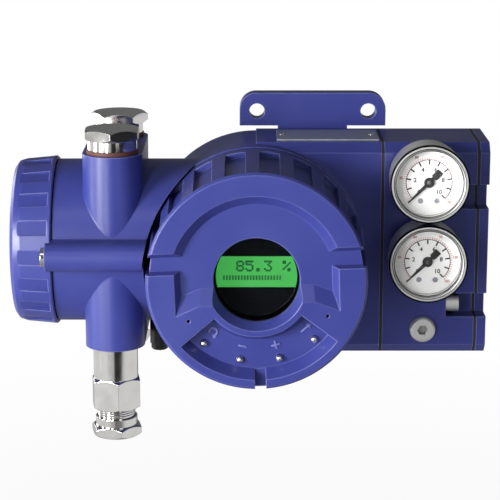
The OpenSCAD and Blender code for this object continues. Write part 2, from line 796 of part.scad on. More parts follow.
// Gasket between the casting and the manifold
module manifold_gasket() {
    color(black) difference() {
        block_run(block_right, manifold_left);
        manifold_bolt_places() cylinder(r = bolt_r + pass_gap, h = bolt_grip + gasket_t + 1);
    }
}

// Places of the two bolts that hold the manifold on the casting
module manifold_bolt_places() {
    for (z = bolt_levels) rightward(block_right - bolt_grip, -bolt_f, z) children();
}

// Manifold with the gauge ports, the spool bore and the slots that the bolt heads sit in
module gauge_manifold() {
    color(casting_blue) difference() {
        block_run(manifold_left, manifold_right);
        for (z = [upper_z, lower_z, plug_level])
            facing(block_depth - 16, gauge_x, z) cylinder(r = gauge_port_r, h = 17);
        translate([spool_x, -spool_f, -block_bottom - 1])
            cylinder(r = spool_r + run_gap, h = spool_top + block_bottom + 1);
        for (z = bolt_levels) bolt_slot(z, slot_left, manifold_right + 1);
        manifold_bolt_places() cylinder(r = bolt_r + pass_gap, h = slot_left - block_right + bolt_grip + 1);
        air_ports();
    }
}

// Open-fronted slot round a bolt
module bolt_slot(z, x0, x1) {
    translate([x0, -block_depth - 1, z - slot_half]) cube([x1 - x0, slot_depth + 1, 2 * slot_half]);
}

// Air ports on the right end, each drilled as deep as the passage that it meets
module air_ports() {
    for (i = [-1, 0, 1])
        rightward(manifold_right - port_depth - (i + 1) * port_step,
                  -block_depth / 2 - 1,
                  block_mid_z + i * air_port_pitch)
            cylinder(r = air_port_r, h = port_depth + (i + 1) * port_step + plate_right - manifold_right + 1);
}
module port_gasket() {
    color(black) difference() {
        block_run(manifold_right, plate_left);
        for (z = bolt_levels) bolt_slot(z, manifold_right - 1, plate_left + 1);
        air_ports();
    }
}
module port_plate() {
    color(casting_blue) difference() {
        block_run(plate_left, plate_right);
        for (z = bolt_levels) bolt_slot(z, plate_left - 1, plate_right + 1);
        air_ports();
    }
}
module manifold_bolts() {
    shank = slot_left - block_right + bolt_grip;
    color(plated) manifold_bolt_places() {
        translate([0, 0, 1]) cylinder(r = bolt_r - run_gap, h = shank - 1 + eps);
        translate([0, 0, shank]) difference() {
            cylinder(r = bolt_head_r, h = bolt_head_t);
            translate([0, 0, bolt_head_t - 4]) hexagon(5, 5);
        }
    }
}

// Spool that shuttles in the manifold, and the plug under it
module spool() {
    land = 7;
    room = spool_travel + pass_gap;
    low = -block_bottom + spool_plug_h + room;
    length = spool_top - room - low;
    color(plated) translate([spool_x, -spool_f, low]) {
        cylinder(r = spool_r - 2.5, h = length);
        for (t = [0, 0.33, 0.67, 1]) translate([0, 0, t * (length - land)]) cylinder(r = spool_r, h = land);
    }
}
module spool_bore_plug() {
    color(plated) translate([spool_x, -spool_f, -block_bottom]) difference() {
        cylinder(r = spool_r, h = spool_plug_h);
        translate([0, 0, -1]) hexagon(5, 6);
    }
}

// A pressure gauge: case, dial, lens, ring and pointer
case_r = gauge_r - 1;
dial_z = gauge_depth - 7;
dial_t = 0.8;
lens_t = 1.6;
lens_front = gauge_depth - 1.45;
ring_len = 6;
module at_gauge(z) { facing(gauge_back, gauge_x, z) children(); }
module gauge_case(z) {
    wall_r = case_r - 1.2;
    rim = lens_front - lens_t;
    color(plated) at_gauge(z) {
        difference() {
            rotate_extrude() polygon([[0, 0], [case_r - 2, 0], [case_r, 2], [case_r, gauge_depth - ring_len],
                [wall_r, gauge_depth - ring_len], [wall_r, rim], [0, rim]]);
            translate([0, 0, 2.5]) cylinder(r = wall_r - 1, h = gauge_depth);
        }
        translate([0, 0, 1]) cylinder(r = 8, h = dial_z - dial_t - 1);
        translate([0, 0, -gauge_standoff - 12])
            cylinder(r = gauge_port_r - run_gap, h = gauge_standoff + 12 + eps);
        translate([0, 0, -gauge_standoff]) hexagon(12, gauge_standoff + eps, 15);
    }
}
module gauge_dial(z) {
    color([0.93, 0.93, 0.91]) at_gauge(z) translate([0, 0, dial_z - dial_t]) difference() {
        cylinder(r = case_r - 2.25, h = dial_t);
        translate([0, 0, -1]) cylinder(r = 1.3, h = 4);
    }
}
module gauge_ring(z) {
    low = gauge_depth - ring_len;
    color(plated) at_gauge(z) rotate_extrude() polygon([
        [case_r - 1.2, low], [gauge_r, low], [gauge_r, gauge_depth - 1.6], [gauge_r - 0.5, gauge_depth - 0.5],
        [gauge_r - 1.4, gauge_depth], [gauge_r - 2.4, gauge_depth - 0.4], [gauge_r - 3, lens_front],
        [case_r - 1.2, lens_front]]);
}
module gauge_lens(z) {
    color([0.9, 0.95, 0.95, 0.2]) at_gauge(z) translate([0, 0, lens_front - lens_t])
        cylinder(r = case_r - 1.2, h = lens_t);
}
pointer_rest = 225;
module gauge_pointer(z) {
    color(black) at_gauge(z) {
        translate([0, 0, dial_z - dial_t + 0.1]) cylinder(r = 1.2, h = dial_t + 0.6);
        translate([0, 0, dial_z + 0.4]) {
            cylinder(r = 2.6, h = 1);
            rotate([0, 0, pointer_rest]) linear_extrude(0.7)
                polygon([[0, -1], [15, -0.25], [15, 0.25], [0, 1], [-3.3, 0.9], [-3.6, 1.7], [-8, 1.7],
                         [-8, -1.7], [-3.6, -1.7], [-3.3, -0.9]]);
        }
    }
}

// Socket plug in the third gauge port
module gauge_port_plug() {
    color(plated) facing(block_depth, gauge_x, plug_level) difference() {
        union() {
            rotate_extrude() polygon([[0, 0], [6.8, 0], [6.8, 3], [5.8, 4], [0, 4]]);
            translate([0, 0, -10]) cylinder(r = gauge_port_r - run_gap, h = 10 + eps);
        }
        translate([0, 0, 0.5]) hexagon(5, 5);
    }
}

// Feedback shaft, its bush, and the gears to the position sensor
module feedback_shaft() {
    color(plated) facing(0) {
        translate([0, 0, -shaft_out]) cylinder(r = shaft_r, h = shaft_out + eps);
        cylinder(r = journal_r, h = gear_f);
        translate([0, 0, gear_f - eps]) cylinder(r = shaft_r, h = gear_t + 6 + eps);
    }
}
module shaft_bush() {
    color([0.55, 0.42, 0.20]) facing(0) {
        tube(bush_r, journal_r + run_gap, 0, rear_wall);
        tube(bush_r + 2.5, journal_r + run_gap, rear_wall, rear_wall + 1.5);
    }
}

// Involute gear outline: tooth flanks from the base circle to the tip
function involute_point(base_r, t, s) =
    let (a = t * 180 / PI) base_r * [cos(a) + t * sin(a), s * (sin(a) - t * cos(a))];
function turned(p, a) = [p[0] * cos(a) - p[1] * sin(a), p[0] * sin(a) + p[1] * cos(a)];
module gear_outline(teeth, m) {
    pitch_r = m * teeth / 2;
    base_r = pitch_r * cos(pressure_angle);
    tip_r = pitch_r + 0.85 * m;
    root_r = pitch_r - 1.25 * m;
    t_tip = sqrt(pow(tip_r / base_r, 2) - 1);
    t_low = root_r > base_r ? sqrt(pow(root_r / base_r, 2) - 1) : 0;
    flank = 4;
    inv = tan(pressure_angle) * 180 / PI - pressure_angle;
    half = 90 / teeth + inv - backlash / 2 / pitch_r * 180 / PI;
    rise = [for (k = [0 : flank]) involute_point(base_r, t_low + (t_tip - t_low) * k / flank, 1)];
    fall = [for (k = [flank : -1 : 0]) involute_point(base_r, t_low + (t_tip - t_low) * k / flank, -1)];
    points = [for (i = [0 : teeth - 1]) let (a = i * 360 / teeth) each concat(
        [turned([root_r, 0], a - half - 1.5)],
        [for (p = rise) turned(p, a - half)],
        [for (p = fall) turned(p, a + half)],
        [turned([root_r, 0], a + half + 1.5)])];
    polygon(points);
}
module shaft_gear() {
    color([0.80, 0.66, 0.30]) facing(gear_f) difference() {
        union() {
            linear_extrude(gear_t) gear_outline(gear_teeth, gear_m);
            translate([0, 0, gear_t - eps]) cylinder(r = shaft_r + 3, h = 3);
        }
        translate([0, 0, -1]) cylinder(r = shaft_r, h = gear_t + 6);
        for (a = [45 : 90 : 315]) rotate([0, 0, a]) translate([gear_pitch_r * 0.62, 0, -1])
            cylinder(r = gear_pitch_r * 0.16, h = gear_t + 2);
    }
}
module sensor_pinion() {
    color([0.80, 0.66, 0.30]) facing(gear_f, 0, gear_centres) {
        rotate([0, 0, 90 + 180 / pinion_teeth + 90 * gear_teeth / pinion_teeth])
            linear_extrude(gear_t) gear_outline(pinion_teeth, gear_m);
        translate([0, 0, gear_t - eps]) cylinder(r = 2, h = 8);
    }
}
module position_sensor() {
    color([0.10, 0.20, 0.45]) facing(sensor_f, 0, gear_centres) difference() {
        cylinder(r = sensor_r, h = sensor_len);
        translate([0, 0, -1]) cylinder(r = 2 + run_gap, h = 9);
    }
}

housing();
mounting_bracket();
bracket_screws();
name_plate();
name_plate_rivets();
front_cover();
front_cover_o_ring();
window_glass();
window_seal();
window_retainer();
button_guides();
button(0);  // button_1
button(1);  // button_2
button(2);  // button_3
button(3);  // button_4
display_carrier();
display_panel();
carrier_posts();
main_board();
key_switches();
electronics_module();
module_posts();
terminal_cover();
terminal_cover_o_ring();
terminal_block();
terminal_screws();
cover_lock_screw();
entry_plug_front();
entry_plug_rear();
entry_plug_lower();
entry_seals();
gland_body();
gland_seal();
gland_nut();
vent_plug();
manifold_gasket();
gauge_manifold();
port_gasket();
port_plate();
manifold_bolts();
spool();
spool_bore_plug();
gauge_case(upper_z);  // upper_case
gauge_case(lower_z);  // lower_case
gauge_dial(upper_z);  // upper_dial
gauge_dial(lower_z);  // lower_dial
gauge_ring(upper_z);  // upper_ring
gauge_ring(lower_z);  // lower_ring
gauge_lens(upper_z);  // upper_lens
gauge_lens(lower_z);  // lower_lens
gauge_pointer(upper_z);  // upper_pointer
gauge_pointer(lower_z);  // lower_pointer
gauge_port_plug();
feedback_shaft();
shaft_bush();
shaft_gear();
sensor_pinion();
position_sensor();
sensor_plate();
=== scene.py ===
# %% [markdown]
# # Dressing a valve positioner
# The solids of this instrument come from a CAD model: a cast housing with a round front cover, a
# terminal compartment, two pressure gauges and a cable gland. This lesson loads those solids, gives
# each one a finish built from nodes, and models the small things that CAD leaves out: rolled gauge
# rings, printed dials with their screws and pins, the dots of the display, the raised signs beside
# the buttons and some turns of the gland's thread. All lengths are metres. +X points to the gauges,
# -Y to the viewer and +Z up.

# %% Load the solids
import math

import bpy
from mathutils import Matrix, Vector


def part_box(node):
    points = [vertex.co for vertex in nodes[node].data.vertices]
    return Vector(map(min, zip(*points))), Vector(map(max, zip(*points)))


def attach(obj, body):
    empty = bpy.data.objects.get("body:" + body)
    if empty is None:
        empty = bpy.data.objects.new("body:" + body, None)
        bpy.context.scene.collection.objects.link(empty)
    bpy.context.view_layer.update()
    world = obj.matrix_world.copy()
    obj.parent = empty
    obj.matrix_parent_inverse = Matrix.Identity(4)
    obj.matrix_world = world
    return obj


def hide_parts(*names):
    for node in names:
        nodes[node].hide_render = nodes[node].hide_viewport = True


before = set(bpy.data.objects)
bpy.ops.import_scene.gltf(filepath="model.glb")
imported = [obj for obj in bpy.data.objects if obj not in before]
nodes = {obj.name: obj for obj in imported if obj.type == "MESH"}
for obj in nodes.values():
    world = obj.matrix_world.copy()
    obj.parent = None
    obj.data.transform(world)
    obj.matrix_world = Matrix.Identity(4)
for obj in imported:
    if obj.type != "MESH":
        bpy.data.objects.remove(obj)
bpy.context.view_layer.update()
MM = 0.001

# %% [markdown]
# ## Working by hand, in code
# An operator in Blender acts on whatever is selected, so each step starts from an empty selection.
# These helpers do what the mouse would do: clear the selection, pick faces or points by a rule,
# extrude, merge doubles, apply modifiers, and finish a piece so that its place lies in its mesh. A
# mesh could also be written as lists of numbers, but operators let each step be tried in the window
# first.

# %% Helpers: selection and modes
def clear_selection():
    if bpy.context.object and bpy.context.object.mode != "OBJECT":
        bpy.ops.object.mode_set(mode="OBJECT")
    bpy.ops.object.select_all(action="DESELECT")


def make_active(piece):
    clear_selection()
    piece.select_set(True)
    bpy.context.view_layer.objects.active = piece


def edit(piece, mode="FACE"):
    make_active(piece)
    bpy.ops.object.mode_set(mode="EDIT")
    bpy.ops.mesh.select_mode(type=mode)
    bpy.ops.mesh.select_all(action="DESELECT")


def done():
    bpy.ops.object.mode_set(mode="OBJECT")


print("selection helpers ready")

# %% Helpers: picking by a rule
hair = 1e-6


def pick_faces(piece, rule):
    done()
    for polygon in piece.data.polygons:
        polygon.select = bool(rule(polygon))
    bpy.ops.object.mode_set(mode="EDIT")


def pick_points(piece, rule):
    done()
    for vertex in piece.data.vertices:
        vertex.select = bool(rule(vertex.co))
    bpy.ops.object.mode_set(mode="EDIT")


def picked_points(piece):
    done()
    points = [vertex.co.copy() for vertex in piece.data.vertices if vertex.select]
    bpy.ops.object.mode_set(mode="EDIT")
    return points


def pick_all():
    bpy.ops.mesh.select_all(action="SELECT")


print("picking helpers ready, tolerance", hair)

# %% Helpers: shaping and finishing a piece
smooth_angle = math.radians(35)


def extrude(move):
    bpy.ops.mesh.extrude_region_move(TRANSFORM_OT_translate={"value": move})


def fix_place():
    bpy.ops.object.transform_apply(location=True, rotation=True, scale=True)


def weld(piece, distance):
    edit(piece)
    pick_all()
    bpy.ops.mesh.remove_doubles(threshold=distance)
    bpy.ops.mesh.normals_make_consistent(inside=False)
    done()


def apply_all(piece):
    make_active(piece)
    for modifier in list(piece.modifiers):
        bpy.ops.object.modifier_apply(modifier=modifier.name)


def settle(piece, name):
    make_active(piece)
    piece.name = name
    piece.data.name = name
    fix_place()
    bpy.ops.object.shade_smooth_by_angle(angle=smooth_angle)
    return piece


def wear(piece, material, body):
    piece.data.materials.clear()
    piece.data.materials.append(material)
    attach(piece, body)
    return piece


print("finishing helpers ready, smooth below", round(math.degrees(smooth_angle)), "degrees")

# %% [markdown]
# ## Camera
# The instrument is seen almost straight on, from a little above, through a long lens. The lens, the
# distance and the tilt set how much of the top faces shows and how round the cover stays. A short
# lens nearby would fill the picture too, but it would spread the sides apart.

# %% Camera
pitch = math.radians(13.25)
aim = (-3.3 * MM, -60 * MM, 4.0 * MM)
reach = 987 * MM
lens_length = 135.4
sensor_width = 36
camera_data = bpy.data.cameras.new("studio_camera")
camera_data.lens = lens_length
camera_data.sensor_width = sensor_width
camera = bpy.data.objects.new("studio_camera", camera_data)
bpy.context.scene.collection.objects.link(camera)
camera.location = (aim[0], aim[1] - reach * math.cos(pitch), aim[2] + reach * math.sin(pitch))
camera.rotation_euler = (math.pi / 2 - pitch, 0, 0)
bpy.context.scene.camera = camera
bpy.context.scene.view_settings.view_transform = "Standard"
print("camera at", [round(c, 3) for c in camera.location])

# %% [markdown]
# ## Finishes: shared effects
# Several finishes share the same small effects, so each effect is a node group with named inputs: a
# grain for bump and tone, a mask of the edges where paint thins and where a painted highlight lies, a
# mask of the dust that settles on what faces up, and a mask of the recesses where soil and painted
# shade lie. Copying the nodes into each material would work as well, but a group is corrected in one
# place. The shaders themselves stay in the materials.

# %% Node helpers
def add(tree, kind, **values):
    node = tree.nodes.new(kind)
    for key, value in values.items():
        setattr(node, key, value)
    return node


def new_group(name, inputs, outputs):
    group = bpy.data.node_groups.new(name, "ShaderNodeTree")
    for label, default in inputs:
        socket = group.interface.new_socket(label, in_out="INPUT", socket_type="NodeSocketFloat")
        socket.default_value = default
    for label in outputs:
        group.interface.new_socket(label, in_out="OUTPUT", socket_type="NodeSocketFloat")
    return group, add(group, "NodeGroupInput"), add(group, "NodeGroupOutput")


def math_node(tree, operation, a, b=None, clamp=False):
    node = add(tree, "ShaderNodeMath", operation=operation, use_clamp=clamp)
    for index, value in enumerate((a, b)):
        if value is None:
            continue
        if isinstance(value, (int, float)):
            node.inputs[index].default_value = value
        else:
            tree.links.new(value, node.inputs[index])
    return node.outputs[0]


def spread(tree, value, source, target=(0.0, 1.0)):
    node = add(tree, "ShaderNodeMapRange")
    tree.links.new(value, node.inputs["Value"])
    for label, number in zip(("From Min", "From Max", "To Min", "To Max"), (*source, *target)):
        node.inputs[label].default_value = number
    return node.outputs["Result"]


print("node helpers ready")

# %% Grain: a fine noise for bump and a broad one for tone
grain, inside, outside = new_group("fine_grain", [("Fine", 1200.0), ("Broad", 30.0)], ["Height", "Tone"])
place = add(grain, "ShaderNodeTexCoord")
fine = add(grain, "ShaderNodeTexNoise")
fine.inputs["Detail"].default_value = 3.0
fine.inputs["Roughness"].default_value = 0.55
broad = add(grain, "ShaderNodeTexNoise")
broad.inputs["Detail"].default_value = 4.0
for noise, label in ((fine, "Fine"), (broad, "Broad")):
    grain.links.new(place.outputs["Object"], noise.inputs["Vector"])
    grain.links.new(inside.outputs[label], noise.inputs["Scale"])
grain.links.new(fine.outputs["Fac"], outside.inputs["Height"])
grain.links.new(broad.outputs["Fac"], outside.inputs["Tone"])
print(grain.name, "has", len(grain.nodes), "nodes")

# %% Edges: where a rounded normal leaves the true one, on open ridges only: wear and painted highlight
ridge_reach = 2 * MM
ridge_openness = (0.80, 0.97)
# This mask pales convex edges: partly paint worn thin, partly a painted highlight where the edges would
# catch the lamps.
edges, inside, outside = new_group("edge_wear_and_highlight", [("Radius", 0.0008), ("Gain", 6.0)], ["Mask"])
rounded = add(edges, "ShaderNodeBevel", samples=6)
true_normal = add(edges, "ShaderNodeNewGeometry")
facing = add(edges, "ShaderNodeVectorMath", operation="DOT_PRODUCT")
edges.links.new(inside.outputs["Radius"], rounded.inputs["Radius"])
edges.links.new(rounded.outputs["Normal"], facing.inputs[0])
edges.links.new(true_normal.outputs["Normal"], facing.inputs[1])
leaving = math_node(edges, "SUBTRACT", 1.0, facing.outputs["Value"])
thin = math_node(edges, "MULTIPLY", leaving, inside.outputs["Gain"], clamp=True)
open_side = add(edges, "ShaderNodeAmbientOcclusion", samples=6)
open_side.inputs["Distance"].default_value = ridge_reach
ridge = spread(edges, open_side.outputs["AO"], ridge_openness)
edges.links.new(math_node(edges, "MULTIPLY", thin, ridge), outside.inputs["Mask"])
print(edges.name, "has", len(edges.nodes), "nodes")

# %% Dust: on faces that look up, in patches
patch_scale = 55.0
patch_detail = 6.0
dust, inside, outside = new_group("settled_dust", [("Amount", 0.3)], ["Mask"])
place = add(dust, "ShaderNodeTexCoord")
patches = add(dust, "ShaderNodeTexNoise")
patches.inputs["Scale"].default_value = patch_scale
patches.inputs["Detail"].default_value = patch_detail
dust.links.new(place.outputs["Object"], patches.inputs["Vector"])
look = add(dust, "ShaderNodeNewGeometry")
split = add(dust, "ShaderNodeSeparateXYZ")
dust.links.new(look.outputs["Normal"], split.inputs[0])
height = split.outputs["Z"]
upward = math_node(dust, "MULTIPLY", height, height, clamp=True)
upward = math_node(dust, "MULTIPLY", upward, math_node(dust, "GREATER_THAN", height, 0.0))
patchy = math_node(dust, "MULTIPLY", upward, patches.outputs["Fac"])
settled = math_node(dust, "MULTIPLY", patchy, inside.outputs["Amount"], clamp=True)
dust.links.new(settled, outside.inputs["Mask"])
print(dust.name, "has", len(dust.nodes), "nodes")

# %% Recesses: where soil stays in sockets and under collars, with painted shade
soil_and_shade_depth = 0.004
recess_openness = (0.60, 0.25)
# The occlusion mask darkens what lies in hollows: partly soil, partly painted shade where little light
# enters.
recess, inside, outside = new_group("recess_soil_and_shade", [("Depth", soil_and_shade_depth)], ["Mask"])
around = add(recess, "ShaderNodeAmbientOcclusion", samples=8)
recess.links.new(inside.outputs["Depth"], around.inputs["Distance"])
closed = spread(recess, around.outputs["AO"], recess_openness)
recess.links.new(closed, outside.inputs["Mask"])
print("shared effects:", [group.name for group in (grain, edges, dust, recess)])

# %% [markdown]
# ## Finishes: one recipe for most surfaces
# A finish starts from two tones of one colour, mixed by the broad grain. Worn edges with a painted
# highlight and dust pull it lighter, and soil and painted shade in the recesses pull it darker. The
# fine grain makes the bump, and a Bevel node rounds the normals at sharp corners, as casting and
# plating do. Real bevels on every solid would cost many faces for edges this small. Numbers that are
# the same all over the surface are set on the shader's own sockets.

# %% Parts of a finish
tone_range = (0.3, 0.7)


def group_node(tree, group, **values):
    node = add(tree, "ShaderNodeGroup")
    node.node_tree = group
    for label, value in values.items():
        node.inputs[label].default_value = value
    return node


def blend_colours(tree, factor, first, second):
    mix = add(tree, "ShaderNodeMix", data_type="RGBA")
    for socket, value in ((mix.inputs[0], factor), (mix.inputs[6], first), (mix.inputs[7], second)):
        if isinstance(value, (tuple, list)):
            socket.default_value = (*value, 1.0)
        else:
            tree.links.new(value, socket)
    return mix.outputs[2]


def rounded_relief(tree, height, bump, depth, radius):
    soft = add(tree, "ShaderNodeBevel", samples=8)
    soft.inputs["Radius"].default_value = radius
    relief = add(tree, "ShaderNodeBump")
    relief.inputs["Strength"].default_value = bump
    relief.inputs["Distance"].default_value = depth
    tree.links.new(height, relief.inputs["Height"])
    tree.links.new(soft.outputs["Normal"], relief.inputs["Normal"])
    return relief.outputs["Normal"]


print("tones mix over", tone_range)


# %% A finish
def finish(name, tones, rough, metal=0.0, fine=1200.0, broad=30.0, bump=0.1, depth=0.0001, edge=None,
           edge_gain=6.0, radius=0.0007, dusty=None, dust_amount=0.0, soil_and_shade=None, specular=0.5):
    material = bpy.data.materials.new(name)
    material.use_nodes = True
    tree = material.node_tree
    shader = tree.nodes["Principled BSDF"]
    noise = group_node(tree, grain, Fine=fine, Broad=broad)
    tone = noise.outputs["Tone"]
    colour = blend_colours(tree, spread(tree, tone, tone_range), tones[0], tones[1])
    # Paler edges: paint wear and a painted highlight.
    if edge:
        worn_and_highlit = group_node(tree, edges, Radius=radius, Gain=edge_gain)
        colour = blend_colours(tree, worn_and_highlit.outputs["Mask"], colour, edge)
    if dusty:
        lying = group_node(tree, dust, Amount=dust_amount)
        colour = blend_colours(tree, lying.outputs["Mask"], colour, dusty)
    # Darker recesses: soil and painted shade.
    if soil_and_shade:
        dirty_and_shaded = group_node(tree, recess, Depth=soil_and_shade_depth)
        colour = blend_colours(tree, dirty_and_shaded.outputs["Mask"], colour, soil_and_shade)
    tree.links.new(colour, shader.inputs["Base Color"])
    tree.links.new(spread(tree, tone, tone_range, rough), shader.inputs["Roughness"])
    relief = rounded_relief(tree, noise.outputs["Height"], bump, depth, radius)
    tree.links.new(relief, shader.inputs["Normal"])
    shader.inputs["Metallic"].default_value = metal
    shader.inputs["Specular IOR Level"].default_value = specular
    return material


print("recipe ready")

# %% [markdown]
# ## Finishes of this instrument
# The casting wears a satin blue-violet powder coat, a little paler along its edges, where wear and a
# painted highlight lie. The fittings are nickel-plated and turned, the gauges are satin stainless
# steel, and the seals are black rubber or red-brown fibre. Each finish could be a plain colour, but
# the second tone, the edges with their painted highlight and the grain are what make paint look like
# paint close up.

# %% Paint
# The pale edge colour is partly wear and partly a painted highlight.
blue_paint = finish("blue_powder_coat", ((0.031, 0.039, 0.212), (0.036, 0.045, 0.232)), (0.30, 0.38),
                    bump=0.12, depth=0.00008, edge=(0.26, 0.28, 0.60), edge_gain=3.0, radius=0.0008,
                    dusty=(0.14, 0.14, 0.20), dust_amount=0.10)
sensor_case = finish("blue_sensor_case", ((0.012, 0.035, 0.16), (0.018, 0.050, 0.20)), (0.4, 0.55),
                     bump=0.15)
print("paints:", blue_paint.name, sensor_case.name)

# %% Metals
# Dark tone for hollows in the metal: soil and painted shade.
dark_soil_and_shade = (0.05, 0.05, 0.05)
nickel = finish("plated_nickel", ((0.72, 0.71, 0.69), (0.80, 0.79, 0.77)), (0.09, 0.17), metal=1.0,
                fine=2600.0, broad=120.0, bump=0.06, depth=0.00004, edge=(0.88, 0.87, 0.85),
                radius=0.0004, soil_and_shade=dark_soil_and_shade)
stainless = finish("satin_stainless", ((0.74, 0.74, 0.73), (0.80, 0.80, 0.79)), (0.46, 0.56), metal=1.0,
                   fine=3000.0, broad=90.0, bump=0.04, depth=0.00003, edge=(0.88, 0.88, 0.87),
                   radius=0.0004, soil_and_shade=dark_soil_and_shade)
plate_metal = finish("bare_grey_plate", ((0.30, 0.32, 0.36), (0.36, 0.38, 0.42)), (0.35, 0.5), metal=0.4,
                     fine=1800.0, broad=200.0, edge=(0.45, 0.46, 0.47), radius=0.0003)
bronze = finish("sintered_bronze", ((0.30, 0.18, 0.07), (0.40, 0.25, 0.10)), (0.35, 0.5), metal=1.0,
                fine=1500.0, bump=0.2)
brass = finish("cut_brass", ((0.60, 0.42, 0.14), (0.70, 0.50, 0.18)), (0.22, 0.35), metal=1.0,
               fine=2600.0, bump=0.08, edge=(0.85, 0.66, 0.30), radius=0.0003)
print("metals:", [metal.name for metal in (nickel, stainless, plate_metal, bronze, brass)])

# %% Rubber, fibre, plastic and board
rubber = finish("black_rubber", ((0.012, 0.012, 0.013), (0.022, 0.022, 0.024)), (0.55, 0.75),
                fine=2400.0, bump=0.2)
fibre = finish("red_fibre_washer", ((0.080, 0.026, 0.020), (0.130, 0.044, 0.032)), (0.55, 0.75),
               fine=1800.0, bump=0.3)
plastic = finish("black_moulding", ((0.010, 0.010, 0.012), (0.016, 0.016, 0.018)), (0.38, 0.52),
                 fine=2200.0, bump=0.15, edge=(0.05, 0.05, 0.055), radius=0.0004)
display_mask = finish("matte_display_mask", ((0.003, 0.004, 0.007), (0.005, 0.006, 0.010)), (0.6, 0.7),
                      fine=2200.0, bump=0.08, specular=0.1)
board = finish("circuit_board", ((0.010, 0.075, 0.030), (0.020, 0.110, 0.045)), (0.30, 0.45), fine=1600.0)
print("soft and moulded:", [soft.name for soft in (rubber, fibre, plastic, display_mask, board)])

# %% Dial paper and print
dial_paper = finish("white_dial", ((0.83, 0.83, 0.82), (0.87, 0.87, 0.86)), (0.45, 0.55),
                    fine=2500.0, bump=0.05)
print_black = finish("dial_black", ((0.012, 0.012, 0.014), (0.020, 0.020, 0.022)), (0.5, 0.6), bump=0.05)
print_red = finish("dial_red", ((0.50, 0.10, 0.09), (0.58, 0.14, 0.12)), (0.5, 0.6), bump=0.05)
print("dials:", dial_paper.name, print_black.name, print_red.name)

# %% [markdown]
# ## Glass and the lit display
# The window and the gauge lenses are clear glass with a slightly uneven polish. A lens would keep the
# lamps off its dial, because Cycles casts a full shadow from glass unless caustics are traced, so
# Light Path makes the lens transparent to shadow rays. The display glows a little by itself, as a lit
# panel does.

# %% Glass
def mix_shaders(tree, factor, first, second):
    mixed = add(tree, "ShaderNodeMixShader")
    for socket, source in zip(mixed.inputs, (factor, first, second)):
        tree.links.new(source, socket)
    return mixed.outputs[0]


def clear_glass(name, tint, rough, lets_light_in=False):
    material = bpy.data.materials.new(name)
    material.use_nodes = True
    tree = material.node_tree
    shader = tree.nodes["Principled BSDF"]
    noise = group_node(tree, grain, Fine=900.0, Broad=60.0)
    polish = spread(tree, noise.outputs["Tone"], tone_range, (rough, rough * 2.0))
    tree.links.new(polish, shader.inputs["Roughness"])
    shader.inputs["Base Color"].default_value = (*tint, 1.0)
    shader.inputs["Transmission Weight"].default_value = 1.0
    shader.inputs["IOR"].default_value = 1.45
    if lets_light_in:
        path = add(tree, "ShaderNodeLightPath")
        clear = add(tree, "ShaderNodeBsdfTransparent")
        mixed = mix_shaders(tree, path.outputs["Is Shadow Ray"], shader.outputs[0], clear.outputs[0])
        tree.links.new(mixed, tree.nodes["Material Output"].inputs["Surface"])
    return material


window = clear_glass("window_glass", (0.93, 0.97, 0.96), 0.01)
lens = clear_glass("gauge_lens", (0.99, 0.99, 0.99), 0.01, lets_light_in=True)
print("glass:", window.name, lens.name)

# %% Lit display
panel_glow = 0.85


def light_up(material, colour):
    shader = material.node_tree.nodes["Principled BSDF"]
    shader.inputs["Emission Color"].default_value = (*colour, 1.0)
    shader.inputs["Emission Strength"].default_value = panel_glow


display_green = finish("lit_green_display", ((0.030, 0.22, 0.045), (0.040, 0.26, 0.055)), (0.35, 0.45),
                       fine=1500.0, broad=60.0, bump=0.03)
light_up(display_green, (0.055, 0.42, 0.075))
print("display glows at", panel_glow)

# %% [markdown]
# ## Each solid gets its finish
# A CAD solid keeps its mesh, and only its material slot changes. One table says which solids share a
# finish, so a solid that was forgotten shows up in the printed list.

# %% Wardrobe
wardrobe = {
    blue_paint: ["housing", "mounting_bracket", "front_cover", "terminal_cover", "gauge_manifold",
                 "port_plate"],
    nickel: ["bracket_screws", "name_plate_rivets", "window_retainer", "button_guides", "button_1",
             "button_2", "button_3", "button_4", "carrier_posts", "module_posts", "terminal_screws",
             "cover_lock_screw", "entry_plug_front", "entry_plug_rear", "entry_plug_lower",
             "gland_body", "gland_nut", "spool", "spool_bore_plug", "feedback_shaft"],
    stainless: ["upper_case", "upper_ring", "lower_case", "lower_ring", "gauge_port_plug",
                "manifold_bolts"],
    rubber: ["front_cover_o_ring", "terminal_cover_o_ring", "window_seal", "gland_seal", "manifold_gasket",
             "port_gasket"],
    fibre: ["entry_seals"],
    display_mask: ["display_carrier"],
    plastic: ["key_switches", "electronics_module", "terminal_block", "vent_plug"],
    board: ["main_board"],
    plate_metal: ["name_plate", "sensor_plate"],
    bronze: ["shaft_bush"],
    brass: ["shaft_gear", "sensor_pinion"],
    sensor_case: ["position_sensor"],
    dial_paper: ["upper_dial", "lower_dial"],
    print_black: ["upper_pointer", "lower_pointer"],
    window: ["window_glass"],
    lens: ["upper_lens", "lower_lens"],
    display_green: ["display_panel"],
}
for material, members in wardrobe.items():
    for member in members:
        nodes[member].data.materials.clear()
        nodes[member].data.materials.append(material)
bare = sorted(set(nodes) - {member for members in wardrobe.values() for member in members})
print("solids without a finish:", bare)

# %% [markdown]
# ## Studio
# The instrument hangs above a pale floor, as it would on its bracket, and its lamps stand mostly to
# the left, at about its own height. Light Path tells the floor and the world which kind of ray asks.
# The camera sees a plain white room. Rays mirrored in metal and glass see a dimmer one with a dark
# strip in front, so that the window stays black and the plating keeps its contrast. Cards around the
# object would do the same, but they would stand in the way of the other views.

# %% Floor
floor_size = 14.0
floor_level = -0.30
clear_selection()
bpy.ops.mesh.primitive_plane_add(size=floor_size, location=(0, 0, floor_level))
floor = bpy.context.object
edit(floor)
pick_all()
bpy.ops.mesh.subdivide(number_cuts=4)
done()
settle(floor, "floor")
print("floor:", len(floor.data.polygons), "faces at", floor_level)


